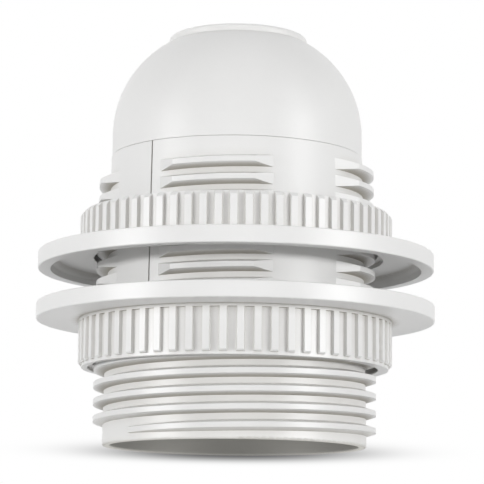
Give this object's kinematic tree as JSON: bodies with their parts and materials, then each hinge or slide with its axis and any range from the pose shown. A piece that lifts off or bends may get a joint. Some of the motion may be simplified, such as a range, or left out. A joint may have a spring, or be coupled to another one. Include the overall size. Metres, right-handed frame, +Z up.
{
  "type": "lamp holder",
  "caption": "Screw-cap lamp holder with a domed cable-entry cap, an externally threaded barrel and ribbed shade rings.",
  "frame": {"origin": "on the axis, in the plane of the mouth rim that the holder stands on", "axes": "+Z up the axis from the lamp's mouth to the cable entry, -Y to the front, +X to the right"},
  "size_m": [0.0566, 0.0566, 0.0591],
  "materials": {
    "white_shell": "satin",
    "white_ring": "satin",
    "carrier_plastic": "matte",
    "contact_bronze": "rolled sheet",
    "terminal_brass": "machined",
    "plated_steel": "zinc plated"
  },
  "bodies": {
    "holder": {"dome_cap": "white_shell", "barrel": "white_shell", "entry_bush": "plated_steel", "lock_screw": "plated_steel", "contact_carrier": "carrier_plastic", "live_rivet": "terminal_brass", "neutral_rivet": "terminal_brass", "live_terminal": "terminal_brass", "neutral_terminal": "terminal_brass", "live_clamp_plate": "plated_steel", "neutral_clamp_plate": "plated_steel", "live_screw": "plated_steel", "neutral_screw": "plated_steel"},
    "upper_ring": {"upper_ring": "white_ring"},
    "lower_ring": {"lower_ring": "white_ring"},
    "centre_leaf": {"centre_contact": "contact_bronze"},
    "side_leaf": {"side_contact": "contact_bronze"}
  },
  "joints": [
    {"name": "upper_ring_travel", "type": "slide", "parent": "holder", "child": "upper_ring", "axis": [0, 0, 1], "range_m": [-0.0023, 0.0075]},
    {"name": "lower_ring_travel", "type": "slide", "parent": "holder", "child": "lower_ring", "axis": [0, 0, 1], "range_m": [-0.0102, 0.0023]},
    {"name": "centre_contact_press", "type": "hinge", "parent": "holder", "child": "centre_leaf", "pos_m": [-0.0086, 0, 0.02696], "axis": [0, -1, 0], "range_deg": [0, 6], "stiffness_Nm_per_rad": 0.05},
    {"name": "side_contact_press", "type": "hinge", "parent": "holder", "child": "side_leaf", "pos_m": [0.009, 0, 0.02696], "axis": [0, -1, 0], "range_deg": [0, 3], "stiffness_Nm_per_rad": 0.05}
  ]
}
